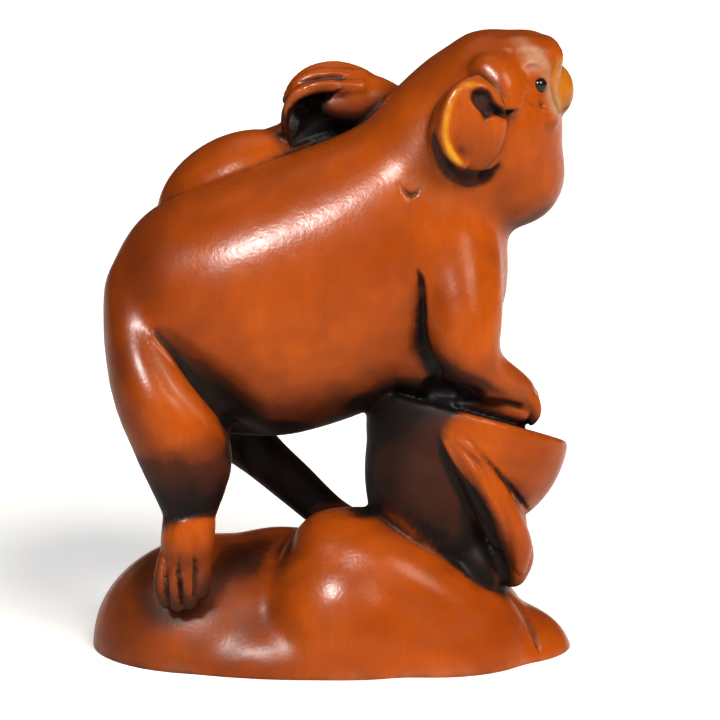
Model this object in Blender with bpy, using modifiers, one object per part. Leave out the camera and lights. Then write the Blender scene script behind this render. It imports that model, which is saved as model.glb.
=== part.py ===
"""A boxwood netsuke: a monkey climbs a rock with her young on her back and one hand on a fruit.

The carving is one solid, cut from one block. Each of the monkey's eyes is a bead of dark horn in a drilled socket.
The frame has +X the way the monkey looks, -Y towards the side that the photograph shows and +Z up, with the origin
on the surface that the rock stands on. Points and radii of the carving are hundredths of HEIGHT, because a carver
keeps a figure's proportions. Sizes that don't follow the figure are in metres.
"""

import math

import bmesh
import bpy
import numpy as np
from mathutils import Euler, Matrix, Vector
from mathutils.bvhtree import BVHTree

HEIGHT = 0.055
EYE_DIAMETER = 0.0014
EYE_GAP = 0.0001
EYE_PROUD = 0.00035
CARVING_TRIANGLES = 9700

SHARE = HEIGHT / 100
MASS_GRAIN = 1.1
FORM_GRAIN = 0.6

EYE_PLACE = (32.1, 7.5, 90.9)
EYE_FACING = (0.62, 0.78, 0.1)

FRUIT_RIM = (28.5, 0.0, 35.6)
FRUIT_TILT = (-13.5, 15.0, 0.0)

BOXWOOD = ((0.50, 0.09, 0.012, 1.0), 0.35)
HORN = ((0.012, 0.009, 0.007, 1.0), 0.08)


def clear_scene():
    """Removes whatever the scene holds."""
    for thing in list(bpy.data.objects):
        bpy.data.objects.remove(thing)


def collection(name):
    """A new collection in the scene."""
    made = bpy.data.collections.new(name)
    bpy.context.scene.collection.children.link(made)
    return made


def finish(name, colour, roughness):
    """A plain material."""
    material = bpy.data.materials.new(name)
    material.use_nodes = True
    shader = material.node_tree.nodes["Principled BSDF"]
    shader.inputs["Base Color"].default_value = colour
    shader.inputs["Roughness"].default_value = roughness
    shader.inputs["Metallic"].default_value = 0.0
    return material


def mould(detail):
    """A unit ball to take copies of, made once for each level of detail."""
    name = f"mould_{detail}"
    if name not in bpy.data.meshes:
        unit = bmesh.new()
        bmesh.ops.create_icosphere(unit, subdivisions=detail, radius=1)
        unit.to_mesh(bpy.data.meshes.new(name))
        unit.free()
    return bpy.data.meshes[name]


def ball(shape, centre, radii, turn=(0, 0, 0), detail=3):
    """Adds one ellipsoid. Centre and radii are shares, turn is in degrees about X, Y and Z."""
    copy = mould(detail).copy()
    copy.transform(
        Matrix.Translation(Vector(centre) * SHARE)
        @ Euler([math.radians(angle) for angle in turn]).to_matrix().to_4x4()
        @ Matrix.Diagonal((*(radius * SHARE for radius in radii), 1))
    )
    shape.from_mesh(copy)
    bpy.data.meshes.remove(copy)


def along(keys, steps):
    """Rows on a smooth line through the keys, with the given steps from one key to the next."""
    rows = np.array(keys, float)
    padded = np.vstack([2 * rows[0] - rows[1], rows, 2 * rows[-1] - rows[-2]])
    made = []
    for a, b, c, d in zip(padded, padded[1:], padded[2:], padded[3:]):
        for t in np.arange(steps) / steps:
            made.append(
                b
                + (c - a) * t / 2
                + (a - 2.5 * b + 2 * c - d / 2) * t**2
                + (1.5 * b - a / 2 - 1.5 * c + d / 2) * t**3
            )
    return [*made, rows[-1]]


def chain(shape, keys, steps=7, detail=3):
    """Adds overlapping balls along a smooth line. A key is x, y, z and one radius, or x, y, z and three radii."""
    for row in along(keys, steps):
        radii = row[3:] if len(row) == 6 else np.repeat(row[3], 3)
        ball(shape, row[:3], np.maximum(radii, 0.3), detail=detail)


def mirrored(keys, side):
    """The keys of the near side, or of the far side where side is 1. Their y is written as a distance."""
    return [(x, y * side, *rest) for x, y, *rest in keys]


def through_modifier(shape, kind, **settings):
    """Runs one modifier over the shape."""
    before = bpy.data.meshes.new("before")
    shape.to_mesh(before)
    block = bpy.data.objects.new("block", before)
    bpy.context.scene.collection.objects.link(block)
    modifier = block.modifiers.new(kind.title(), kind)
    for name, value in settings.items():
        setattr(modifier, name, value)
    view = bpy.context.evaluated_depsgraph_get()
    after = bpy.data.meshes.new_from_object(block.evaluated_get(view))
    bpy.data.objects.remove(block)
    shape.clear()
    shape.from_mesh(after)
    bpy.data.meshes.remove(after)
    bpy.data.meshes.remove(before)


def fuse(shape, grain, rounds):
    """Turns overlapping balls into one skin with grain-sized faces, and rubs it smooth."""
    through_modifier(shape, "REMESH", mode="VOXEL", voxel_size=grain * SHARE)
    through_modifier(shape, "SMOOTH", factor=0.5, iterations=rounds)


def thin(shape, triangles):
    """Lowers the number of triangles, keeping faces where the surface turns most."""
    bmesh.ops.triangulate(shape, faces=shape.faces)
    through_modifier(shape, "DECIMATE", ratio=min(1.0, triangles / len(shape.faces)), use_collapse_triangulate=True)


def trim(shape, point, normal):
    """Cuts everything off beyond a plane and closes the cut. The point is in shares."""
    cut = bmesh.ops.bisect_plane(
        shape,
        geom=[*shape.verts, *shape.edges, *shape.faces],
        dist=1e-8,
        plane_co=Vector(point) * SHARE,
        plane_no=normal,
        clear_outer=True,
    )
    edges = [part for part in cut["geom_cut"] if isinstance(part, bmesh.types.BMEdge)]
    bmesh.ops.holes_fill(shape, edges=edges, sides=0)


def keep_largest(shape):
    """Removes closed bubbles and crumbs, so that one skin is left."""
    left = set(shape.faces)
    skins = []
    while left:
        front = [left.pop()]
        skin = list(front)
        while front:
            beside = {other for edge in front.pop().edges for other in edge.link_faces} & left
            left -= beside
            front.extend(beside)
            skin.extend(beside)
        skins.append(skin)
    skins.sort(key=len)
    for skin in skins[:-1]:
        bmesh.ops.delete(shape, geom=skin, context="FACES")


def score(shape, side, keys, nearest, sharp=2.0):
    """Presses a soft furrow into one side of the carving, as a gouge does.

    A key is x, z, the furrow's half width and its depth. Side is -1 for the near side and 1 for the far one, and
    only what lies further out than the nearest y is pressed.
    """
    shape.verts.ensure_lookup_table()
    shape.normal_update()
    line = np.array(along(keys, 10)) * SHARE
    places = np.array([vertex.co for vertex in shape.verts])
    apart = np.hypot(places[:, None, 0] - line[:, 0], places[:, None, 2] - line[:, 1])
    closest = np.argmin(apart / np.maximum(line[:, 2], SHARE / 10), axis=1)
    reach = apart[np.arange(len(places)), closest] / line[closest, 2]
    outside = places[:, 1] * side > nearest * SHARE
    pressed = np.where(outside & (reach < 1), line[closest, 3] * (1 - np.minimum(reach, 1) ** 2) ** sharp, 0)
    for index in np.flatnonzero(pressed):
        vertex = shape.verts[index]
        facing = max(0.0, vertex.normal.y * side)
        vertex.co.y -= side * facing * pressed[index]


def trunk(shape):
    """The mother's body from rump to head, as one soft mass."""
    chain(
        shape,
        [
            (-20.5, 0.5, 54.5, 15.0, 15.0, 18.6),
            (-14.5, 0.5, 54.9, 16.0, 16.5, 20.4),
            (-7.2, 0.5, 56.3, 16.5, 17.0, 21.8),
            (5.4, 0.5, 61.2, 15.0, 16.0, 21.9),
            (12.0, 0.5, 67.0, 13.0, 14.0, 20.0),
            (16.3, 0.5, 75.0, 12.0, 12.5, 17.0),
            (21.5, 0.5, 81.5, 12.0, 12.0, 15.0),
        ],
        steps=9,
        detail=4,
    )
    ball(shape, (19.8, 0, 61.5), (8.2, 11.0, 15.0), detail=4)
    ball(shape, (16.2, 0, 48.6), (9.0, 11.0, 9.5), detail=4)
    ball(shape, (24.8, 0, 83.3), (11.5, 12.3, 15.7), detail=4)
    ball(shape, (28.6, 0.5, 76.5), (8.2, 10.5, 8.8), detail=4)
    ball(shape, (30.2, 0.5, 92.0), (6.0, 9.0, 6.9), detail=4)


def right_arm(shape):
    """The near arm: shoulder, upper arm and bent elbow, with the hand flat on the fruit."""
    chain(
        shape,
        [
            (17.0, -4.0, 69.0, 8.6, 7.6, 9.0),
            (18.9, -6.6, 62.5, 8.0, 7.4, 8.0),
            (20.3, -9.8, 56.0, 6.6, 7.0, 6.6),
            (20.7, -11.6, 50.9, 5.5, 6.2, 5.4),
            (22.2, -11.2, 47.8, 4.8, 5.4, 4.2),
            (24.8, -9.5, 45.5, 4.2, 4.8, 4.1),
            (27.8, -7.0, 43.5, 3.6, 4.4, 3.5),
            (30.2, -5.0, 41.8, 2.7, 4.0, 2.7),
        ],
    )


def right_hand(shape):
    """The near hand's four fingers, curled over the fruit's rim, and the heel of the hand below."""
    for spread in (-2.9, -0.9, 1.1, 3.1):
        chain(
            shape,
            [
                (28.6, -4.8 + spread, 43.2, 1.4),
                (31.2, -4.4 + spread, 41.6, 1.3),
                (32.0, -4.2 + spread, 39.8, 1.1),
                (31.4, -4.1 + spread, 38.2, 0.9),
            ],
            detail=2,
        )
    chain(shape, [(18.0, -6.0, 41.5, 3.4), (24.0, -6.0, 40.2, 2.4), (29.4, -5.0, 38.0, 1.6)])


def left_arm(shape):
    """The far arm: raised, and bent back over the shoulder to the young one's head."""
    chain(
        shape,
        [
            (16.5, 8.0, 67.0, 8.0, 8.0, 8.0),
            (15.8, 12.0, 74.5, 5.8, 5.8, 5.8),
            (13.4, 14.5, 80.6, 4.8, 4.8, 4.8),
            (10.4, 12.5, 84.0, 3.9, 3.9, 3.9),
            (7.6, 9.5, 85.9, 4.1, 4.1, 4.1),
            (4.9, 8.0, 86.4, 5.0, 4.4, 4.4),
            (2.2, 6.6, 86.1, 3.1, 3.0, 3.0),
            (0.2, 5.4, 86.2, 1.8, 1.8, 1.8),
        ],
    )


def left_hand(shape):
    """The far hand: four fingers over the young one's head, the first one round the side of it."""
    fingers = [
        [(4.6, 5.0, 89.0, 1.5), (-0.9, 4.2, 89.3, 1.2), (-4.8, 4.0, 88.3, 1.1), (-6.6, 4.4, 86.2, 0.9),
         (-7.2, 5.0, 83.4, 0.8), (-7.0, 6.4, 80.6, 0.7)],
        [(4.6, 7.0, 90.2, 1.6), (-0.9, 6.4, 90.8, 1.3), (-4.4, 6.2, 89.8, 1.2), (-6.5, 6.4, 87.6, 1.1)],
        [(7.4, 9.6, 87.6, 1.8), (5.0, 9.4, 89.9, 1.7), (1.4, 9.2, 91.3, 1.5), (-2.4, 9.0, 91.0, 1.4),
         (-5.2, 9.0, 89.2, 1.3), (-6.7, 9.4, 86.6, 1.1)],
        [(7.4, 12.0, 87.0, 1.7), (5.0, 12.2, 89.3, 1.6), (1.4, 12.0, 90.7, 1.5), (-2.4, 11.8, 90.2, 1.4),
         (-5.0, 11.8, 88.2, 1.3), (-6.5, 12.0, 85.4, 1.1)],
    ]
    for keys in fingers:
        chain(shape, keys, detail=2)


def right_leg(shape):
    """The near hind leg: a broad thigh that grows out of the rump and narrows to the ankle."""
    chain(
        shape,
        [
            (-31.1, -2.5, 56.6, 4.7, 7.0, 7.8),
            (-30.6, -5.5, 51.7, 4.9, 8.0, 7.0),
            (-28.7, -9.0, 46.8, 6.0, 8.0, 6.6),
            (-26.3, -11.5, 42.3, 7.1, 7.8, 6.6),
            (-23.8, -12.6, 37.8, 7.7, 7.4, 6.3),
            (-22.3, -13.0, 33.4, 7.5, 6.4, 5.3),
            (-21.9, -13.3, 29.1, 5.9, 5.4, 4.7),
            (-21.8, -13.5, 25.9, 4.6, 4.6, 4.0),
            (-21.8, -13.8, 23.2, 3.9, 4.1, 3.6),
        ],
    )


def left_leg(shape):
    """The far hind leg: set forward under the belly, with its foot behind the ridge."""
    chain(
        shape,
        [
            (-18.9, 9.0, 38.4, 8.1),
            (-15.2, 10.0, 32.4, 5.0),
            (-11.6, 10.5, 28.6, 4.0),
            (-6.2, 11.5, 23.4, 3.6),
            (-0.9, 12.0, 18.4, 3.2),
            (3.3, 12.5, 15.4, 3.1),
        ],
    )


def right_foot(shape):
    """The near hind foot, hanging over the front of the rock, with four long toes."""
    chain(shape, [(-21.9, -14.2, 23.6, 4.2), (-22.2, -14.8, 20.0, 4.2), (-22.4, -14.6, 17.4, 3.8)])
    toes = [
        [(-25.4, -16.0, 18.3, 1.5), (-26.0, -17.0, 14.4, 1.5), (-25.4, -16.4, 11.5, 1.2)],
        [(-23.5, -16.8, 18.4, 1.5), (-23.9, -17.8, 14.4, 1.4), (-23.6, -17.0, 11.1, 1.2)],
        [(-21.6, -16.8, 18.4, 1.5), (-21.8, -17.8, 14.6, 1.4), (-21.6, -17.0, 11.5, 1.2)],
        [(-19.8, -16.0, 18.5, 1.5), (-19.7, -17.0, 15.3, 1.4), (-19.7, -16.6, 13.0, 1.1)],
    ]
    for keys in toes:
        chain(shape, keys, detail=2)


def left_foot(shape):
    """The far hind foot on the ledge, with its toes spread forwards."""
    chain(shape, [(3.3, 12.5, 15.6, 3.2), (7.0, 13.0, 15.4, 3.2), (10.0, 14.0, 14.6, 2.6)])
    for spread in (-2.4, -0.8, 0.8, 2.4):
        chain(
            shape,
            [
                (9.0, 14.0 + spread, 15.2, 1.4),
                (12.6, 15.0 + spread * 1.3, 14.0, 1.3),
                (15.0, 15.6 + spread * 1.4, 12.6, 1.1),
            ],
            detail=2,
        )


def young(shape):
    """The young on the far side of the mother's back: body, bowed head, and the limbs that it clings with."""
    ball(shape, (-15.3, 8.8, 71.4), (13.4, 8.6, 9.4), turn=(0, -30, 0), detail=4)
    chain(shape, [(-8.6, 9.5, 76.0, 6.2), (-5.2, 10.8, 79.4, 4.4), (-2.2, 11.6, 82.6, 5.1)])
    ball(shape, (2.4, 12.0, 80.4), (3.9, 3.6, 3.5))
    ball(shape, (-3.6, 16.2, 83.8), (2.2, 1.3, 2.6))
    chain(shape, [(-21.0, 14.0, 66.0, 5.4), (-16.0, 15.6, 61.4, 4.2), (-12.0, 16.6, 58.4, 2.8)])
    chain(shape, [(-12.0, 16.6, 58.4, 2.4), (-8.6, 16.8, 60.2, 2.0), (-6.0, 16.8, 61.6, 1.6)], detail=2)
    chain(shape, [(-7.0, 13.4, 76.0, 3.6), (-2.0, 15.2, 71.6, 2.6), (3.6, 15.4, 68.6, 1.9), (6.0, 15.0, 68.0, 1.6)])


def rock(shape):
    """The rock: a low mound under the hind foot, a ridge in front, and a ledge for the fruit behind it."""
    ball(shape, (-2.0, 0.0, 0.0), (36.6, 20.6, 12.0), detail=4)
    ball(shape, (-18.0, 0.0, 0.0), (20.6, 17.6, 17.6), detail=4)
    ball(shape, (-20.0, -5.0, 5.5), (15.0, 9.8, 11.4), detail=4)
    ball(shape, (-8.0, 4.0, 0.0), (20.0, 15.0, 17.8), detail=4)
    ball(shape, (5.0, 8.0, 4.0), (14.0, 11.5, 10.5), detail=4)
    chain(
        shape,
        [
            (-0.2, -5.5, 15.8, 6.3, 9.0, 7.6),
            (6.2, -5.5, 15.0, 7.1, 11.0, 8.4),
            (12.5, -5.5, 12.0, 7.6, 12.0, 8.7),
            (18.9, -5.0, 7.9, 7.6, 12.0, 8.6),
            (24.5, -4.0, 3.4, 7.2, 11.0, 7.7),
        ],
        detail=4,
    )
    ball(shape, (3.0, -8.5, 3.5), (15.0, 12.3, 17.0), detail=4)
    ball(shape, (16.0, -7.0, 0.0), (16.0, 12.2, 15.5), detail=4)
    ball(shape, (25.0, -1.5, -2.0), (14.0, 12.0, 9.6), detail=4)
    ball(shape, (20.0, 8.0, -1.0), (12.0, 10.0, 10.0), detail=4)


def ledge(shape):
    """The step behind the ridge that the fruit stands on."""
    chain(
        shape,
        [
            (8.3, 4.0, 13.0, 5.2, 11.0, 8.4),
            (15.9, 3.6, 10.0, 5.2, 10.4, 8.4),
            (21.6, 3.2, 6.0, 5.5, 10.0, 8.6),
            (26.5, 3.0, 0.6, 5.5, 9.0, 8.1),
        ],
        detail=4,
    )


def fruit(shape):
    """The fruit: a full round body and a broad slice beside it, both cut off flat on top."""
    ball(shape, (17.3, -1.0, 29.0), (12.0, 13.0, 19.0), detail=4)
    ball(shape, (21.7, -1.0, 36.0), (16.2, 13.6, 17.6), detail=4)
    ball(shape, (23.8, -1.0, 15.5), (6.4, 11.0, 8.0), detail=4)
    tilt = Euler([math.radians(angle) for angle in FRUIT_TILT]).to_matrix()
    trim(shape, FRUIT_RIM, tilt @ Vector((0, 0, 1)))


def peel(shape, side):
    """The thick curl of peel that runs from the fruit's rim down over its side."""
    keys = [
        (17.9, 12.4, 37.2, 1.0),
        (19.6, 13.2, 34.4, 1.9),
        (21.9, 13.6, 31.0, 2.5),
        (24.4, 13.2, 26.9, 2.9),
        (26.9, 12.2, 22.4, 3.1),
        (28.8, 10.6, 17.7, 3.1),
        (28.5, 9.2, 14.4, 2.6),
    ]
    chain(shape, mirrored(keys, side))


def face(shape, side):
    """One side of the face: muzzle, brow, cheek, temple and the bump beside the eye."""
    ball(shape, (34.0, 1.5, 89.0), (3.9, 4.6, 4.6), detail=4)
    chain(shape, mirrored([(26.0, 3.4, 94.0, 3.9), (29.6, 3.2, 94.7, 3.6), (32.8, 2.6, 94.5, 3.2)], side))
    ball(shape, (31.6, 5.5 * side, 85.9), (3.8, 3.6, 3.2))
    chain(shape, mirrored([(24.4, 7.0, 92.6, 3.8), (26.0, 8.2, 90.8, 3.8), (26.8, 10.0, 88.2, 2.7)], side))
    ball(shape, (30.0, 8.4 * side, 90.6), (1.1, 1.0, 1.3), detail=2)


def ear(shape, side):
    """A round ear on a sloping base: a broad plate with a rolled rim along its back."""
    ball(shape, (20.8, 10.8 * side, 83.6), (5.6, 4.0, 8.0), detail=4)
    ball(shape, (21.6, 13.8 * side, 85.8), (5.2, 2.8, 7.2), detail=4)
    rim = [
        (22.3, 13.6, 92.4, 0.9),
        (20.4, 14.2, 91.6, 1.1),
        (18.9, 14.9, 90.2, 1.2),
        (17.9, 15.4, 88.2, 1.2),
        (17.4, 15.8, 86.0, 1.2),
        (17.5, 16.0, 83.6, 1.2),
        (18.4, 16.0, 81.4, 1.1),
        (20.0, 15.6, 79.8, 0.9),
    ]
    chain(shape, mirrored(rim, side), steps=4, detail=2)


def score_side(shape, side):
    """The furrows of one side of the head: the ear's opening, the line under its base, and the mouth."""
    score(shape, side, [(22.4, 90.2, 1.5, 0.8), (23.4, 88.4, 1.9, 1.5), (25.0, 87.0, 1.5, 1.2)], 9, sharp=1.4)
    base = [(15.0, 86.0, 1.0, 0.4), (15.2, 81.5, 1.3, 1.0), (17.6, 76.6, 1.4, 1.2), (22.2, 75.4, 1.3, 1.0),
            (26.0, 78.0, 1.0, 0.4)]
    score(shape, side, base, 6)
    mouth = [(37.4, 84.8, 0.8, 0.5), (34.6, 84.2, 0.9, 0.8), (31.4, 84.4, 0.9, 0.6), (29.0, 86.0, 0.8, 0.2)]
    score(shape, side, mouth, 1)


def score_limbs(shape):
    """The creases beside the near thigh and arm, and the gaps between the near foot's toes."""
    thigh = [(-27.6, 52.0, 1.8, 0.6), (-25.6, 48.6, 2.4, 2.0), (-22.0, 44.6, 2.8, 3.0), (-17.8, 40.6, 3.0, 3.4),
             (-13.8, 37.0, 2.8, 2.4)]
    score(shape, -1, thigh, 4)
    arm = [(14.0, 60.0, 1.8, 0.8), (14.4, 55.0, 2.0, 2.2), (14.8, 50.0, 2.2, 3.2), (16.4, 46.6, 2.2, 2.6)]
    score(shape, -1, arm, 6)
    ankle = [(-26.0, 24.3, 0.9, 0.5), (-21.8, 23.3, 0.9, 0.7), (-17.8, 24.1, 0.9, 0.5)]
    score(shape, -1, ankle, 12)
    for top, foot in ((-24.8, -24.9), (-22.7, -22.9), (-20.6, -20.8)):
        score(shape, -1, [(top, 19.8, 0.6, 0.3), (foot, 16.2, 0.75, 0.9), (foot, 12.4, 0.75, 0.9)], 14)


def add(shape, other):
    """Puts another bmesh into the shape and frees it."""
    loose = bpy.data.meshes.new("loose")
    other.to_mesh(loose)
    other.free()
    shape.from_mesh(loose)
    bpy.data.meshes.remove(loose)


def carve():
    """The whole carving, with its underside cut flat."""
    mass = bmesh.new()
    for build in (trunk, right_arm, right_leg):
        build(mass)
    fuse(mass, MASS_GRAIN, 14)

    stone = bmesh.new()
    rock(stone)
    fuse(stone, MASS_GRAIN, 14)

    pod = bmesh.new()
    fruit(pod)
    fuse(pod, FORM_GRAIN, 6)

    limbs = bmesh.new()
    for build in (right_hand, left_arm, left_hand, left_leg, right_foot, left_foot, young, ledge):
        build(limbs)
    for side in (-1, 1):
        for build in (face, ear, peel):
            build(limbs, side)

    for other in (stone, pod, limbs):
        add(mass, other)
    fuse(mass, FORM_GRAIN, 3)

    for side in (-1, 1):
        score_side(mass, side)
    score_limbs(mass)

    thin(mass, CARVING_TRIANGLES)
    keep_largest(mass)
    trim(mass, (0, 0, 0), Vector((0, 0, -1)))
    bmesh.ops.triangulate(mass, faces=mass.faces)
    bmesh.ops.recalc_face_normals(mass, faces=mass.faces)
    return mass


def bead(radius):
    """A round bead about the origin."""
    shape = bmesh.new()
    bmesh.ops.create_uvsphere(shape, u_segments=14, v_segments=8, radius=radius)
    return shape


def stand(name, shape, material, home):
    """Makes an object of the shape, smooth where it is round, and frees the shape."""
    mesh = bpy.data.meshes.new(name)
    shape.to_mesh(mesh)
    shape.free()
    mesh.shade_smooth()
    mesh.set_sharp_from_angle(angle=math.radians(40))
    if material:
        mesh.materials.append(material)
    made = bpy.data.objects.new(name, mesh)
    home.objects.link(made)
    return made


def main():
    clear_scene()
    netsuke = collection("netsuke")
    cutters = collection("cutters")
    boxwood = finish("boxwood", *BOXWOOD)
    horn = finish("horn", *HORN)

    shape = carve()
    skin = BVHTree.FromBMesh(shape)
    carving = stand("carving", shape, boxwood, netsuke)

    for name, side in (("eye_right", -1), ("eye_left", 1)):
        x, y, z = EYE_PLACE
        outwards = Vector((EYE_FACING[0], EYE_FACING[1] * side, EYE_FACING[2])).normalized()
        above = Vector((x, y * side, z)) * SHARE + outwards * HEIGHT / 10
        surface = skin.ray_cast(above, -outwards)[0]
        centre = surface + outwards * (EYE_PROUD - EYE_DIAMETER / 2)

        eye = stand(name, bead(EYE_DIAMETER / 2), horn, netsuke)
        eye.location = centre

        drill = stand(f"drill_{name}", bead(EYE_DIAMETER / 2 + EYE_GAP), None, cutters)
        drill.location = centre
        drill.hide_render = True
        drill.display_type = "WIRE"
        socket = carving.modifiers.new(f"Socket {name}", "BOOLEAN")
        socket.operation = "DIFFERENCE"
        socket.solver = "EXACT"
        socket.object = drill


main()
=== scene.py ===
"""A boxwood netsuke of a monkey who climbs a rock with her young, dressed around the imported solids.

The frame has +X the way the monkey looks, -Y towards the side that the photograph shows and +Z up. Points and radii
of the carving's form are hundredths of HEIGHT, called shares. The gouge's lines and the colours follow the photograph:
their places are pixels across and down in its 720 pixel frame, seen through the same camera as the render.
"""

import math

from typing import NamedTuple

import bmesh
import bpy
import numpy as np
from bpy.props import FloatProperty, FloatVectorProperty, IntProperty, PointerProperty
from mathutils import Euler, Matrix, Vector
from mathutils.bvhtree import BVHTree
from mathutils.kdtree import KDTree


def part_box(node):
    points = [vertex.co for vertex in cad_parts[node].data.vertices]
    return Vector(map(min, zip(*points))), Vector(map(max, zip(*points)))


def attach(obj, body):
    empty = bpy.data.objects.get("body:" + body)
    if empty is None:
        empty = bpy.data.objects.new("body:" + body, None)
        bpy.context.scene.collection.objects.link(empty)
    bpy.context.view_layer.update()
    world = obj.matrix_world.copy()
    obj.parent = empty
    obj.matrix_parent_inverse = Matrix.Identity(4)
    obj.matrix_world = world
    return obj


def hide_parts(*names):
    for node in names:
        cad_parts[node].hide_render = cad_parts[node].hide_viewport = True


bl_info = {
    "name": "Boxwood netsuke",
    "version": (1, 0, 0),
    "blender": (4, 5, 0),
    "location": "3D View > Sidebar > Netsuke",
    "description": "Carves and finishes a boxwood netsuke of a monkey with her young on a rock",
    "category": "Object",
}

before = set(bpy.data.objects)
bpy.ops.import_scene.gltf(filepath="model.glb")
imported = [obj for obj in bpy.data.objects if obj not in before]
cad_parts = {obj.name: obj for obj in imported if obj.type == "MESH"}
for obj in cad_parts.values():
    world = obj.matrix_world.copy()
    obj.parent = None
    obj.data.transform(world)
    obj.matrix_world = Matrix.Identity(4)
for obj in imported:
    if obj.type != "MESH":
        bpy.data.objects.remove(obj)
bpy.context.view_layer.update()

HEIGHT = 0.055
SHARE = HEIGHT / 100
MASS_GRAIN = 1.1
POD_GRAIN = 0.6

FRUIT_RIM = (28.5, 0.0, 35.6)
FRUIT_TILT = (-13.5, 15.0, 0.0)

PHOTO_SIDE = 720
LENS = 149.47
SENSOR = 36.0
CAMERA_DISTANCE = 0.26015
CAMERA_ELEVATION = math.radians(12)
CAMERA_TARGET = Vector((0.00253, 0.0, 0.02552))
PIXELS = LENS / SENSOR * PHOTO_SIDE

NEAR, FAR = -1, 1


class Stroke(NamedTuple):
    """One line of the gouge or the brush. A key is across, down and the half width, or the half widths to the left
    and to the right of the way it runs. The depth is in shares where the line is widest, and below zero it is a ridge.
    """

    keys: list
    depth: float = 0.0
    # How dark the mark paints the wood: staining in a cut line, and painted shade where the mark lies in shadow.
    stain_and_shade: float = 0.0
    gold: float = 0.0
    # How pale the mark paints the wood: wear on rubbed edges, and painted highlights and sheen where the light catches.
    wear_and_sheen: float = 0.0
    sharp: float = 2.0
    sides: tuple = (NEAR,)


class Pocket(NamedTuple):
    """One flat-bottomed recess, or a raised or painted patch, inside a closed outline of points across and down."""

    outline: list
    depth: float = 0.0
    slope: float = 3.0
    # How dark the patch paints the wood: staining, and painted shade where the patch lies in shadow.
    stain_and_shade: float = 0.0
    gold: float = 0.0
    # How pale the patch paints the wood, as wear and as painted highlight.
    wear_and_sheen: float = 0.0
    sides: tuple = (NEAR,)


BOTH = (NEAR, FAR)

EAR_GROOVE = [
    (435, 122), (431, 139), (433, 153), (440, 171), (448, 180), (461, 186), (477, 187), (489, 183), (496, 174),
    (502, 160), (498, 163), (491, 168), (480, 170), (467, 169), (457, 166), (448, 159), (441, 149), (437, 138),
]
EAR_OPENING = [
    (470, 91), (474, 88), (481, 87), (490, 90), (494, 96), (497, 103), (503, 108), (510, 110), (519, 108),
    (513, 116), (507, 119), (498, 117), (491, 118), (486, 120), (480, 113), (474, 107), (470, 100),
]

POCKETS = {
    "groove behind the ear": Pocket(EAR_GROOVE, depth=1.2, slope=5.0, sides=BOTH),
    # Painted shade: the dark crescent where the raised ear shades the head, together with the staining in the groove
    # behind it.
    "staining and painted shade behind the ear": Pocket(EAR_GROOVE, slope=1.6, stain_and_shade=0.62, sides=BOTH),
    "opening of the ear": Pocket(EAR_OPENING, depth=1.3, slope=4.0, sides=BOTH),
    # Painted shade in the ear's opening, together with the staining there.
    "staining and painted shade in the ear": Pocket(EAR_OPENING, slope=1.6, stain_and_shade=0.55, sides=BOTH),
    "muzzle": Pocket(
        [(558, 55), (550, 66), (547, 81), (549, 97), (554, 109), (562, 118), (572, 112), (580, 92), (578, 70),
         (570, 56)],
        slope=3.5, gold=0.34, sides=BOTH,
    ),
    # Painted shade: the hollow under the far hand is painted fully dark.
    "hollow of the hand": Pocket(
        [(304, 105), (307, 98), (318, 94), (330, 93), (342, 88), (347, 87), (341, 92), (330, 98), (324, 103),
         (323, 109), (328, 115), (334, 121), (342, 128), (346, 132), (340, 135), (330, 138), (318, 141), (305, 144),
         (292, 147), (288, 141), (287, 130), (287, 117), (289, 109), (295, 107)],
        depth=1.4, slope=3.0, stain_and_shade=1.0,
    ),
    # Painted shade in the pit where the arm and the hand shade the fruit.
    "pit behind the wrist": Pocket(
        [(426, 374), (445, 376), (462, 380), (480, 386), (488, 394), (480, 402), (466, 406), (450, 406), (436, 404),
         (424, 396), (420, 384)],
        depth=1.0, slope=10.0, stain_and_shade=0.9,
    ),
    # Painted shade on the side of the fruit that is turned from the key light, together with darker staining.
    "painted shade and staining on the fruit's side": Pocket(
        [(350, 396), (400, 388), (450, 390), (470, 402), (452, 424), (446, 440), (452, 462), (463, 484), (475, 510),
         (487, 540), (497, 580), (488, 592), (452, 566), (420, 536), (388, 514), (352, 514)],
        slope=7.0, stain_and_shade=0.70,
    ),
    # Painted shade: the far leg lies in shadow under the belly, and the dark also stands for staining.
    "painted shade and staining of the far leg": Pocket(
        [(225, 432), (300, 425), (372, 505), (345, 503), (320, 505), (302, 513), (285, 512), (232, 470)],
        slope=5.0, stain_and_shade=1.0,
    ),
    # Painted shade on the rock that lies in shadow behind the ridge.
    "painted shade behind the ridge": Pocket(
        [(210, 528), (250, 526), (290, 524), (300, 524), (288, 545), (277, 560), (262, 582), (235, 592), (212, 590)],
        slope=30.0, stain_and_shade=0.5,
    ),
    # Painted shade on the left of the rock, which faces away from the key light. It also makes the finish rougher
    # there.
    "painted shade over the rock's back": Pocket(
        [(80, 705), (80, 640), (98, 595), (130, 555), (165, 530), (240, 520), (300, 520), (290, 560), (296, 600),
         (318, 640), (325, 705)],
        slope=40.0, stain_and_shade=0.3,
    ),
    # Painted shade along the strip of rock below the fruit, which marks the ledge behind the ridge.
    "ledge behind the ridge": Pocket(
        [(398, 511), (403, 517), (413, 526), (426, 540), (439, 552), (452, 565), (465, 575), (485, 587), (506, 600),
         (508, 590), (492, 574), (477, 557), (460, 544), (439, 531), (420, 521), (405, 513)],
        slope=2.5, stain_and_shade=0.3,
    ),
    # Painted shade on the rump, which faces away from the key light.
    "painted shade over the rump": Pocket(
        [(90, 380), (95, 280), (125, 225), (175, 190), (190, 240), (165, 320), (160, 400), (200, 470), (140, 480)],
        slope=34.0, stain_and_shade=0.2,
    ),
}

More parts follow.
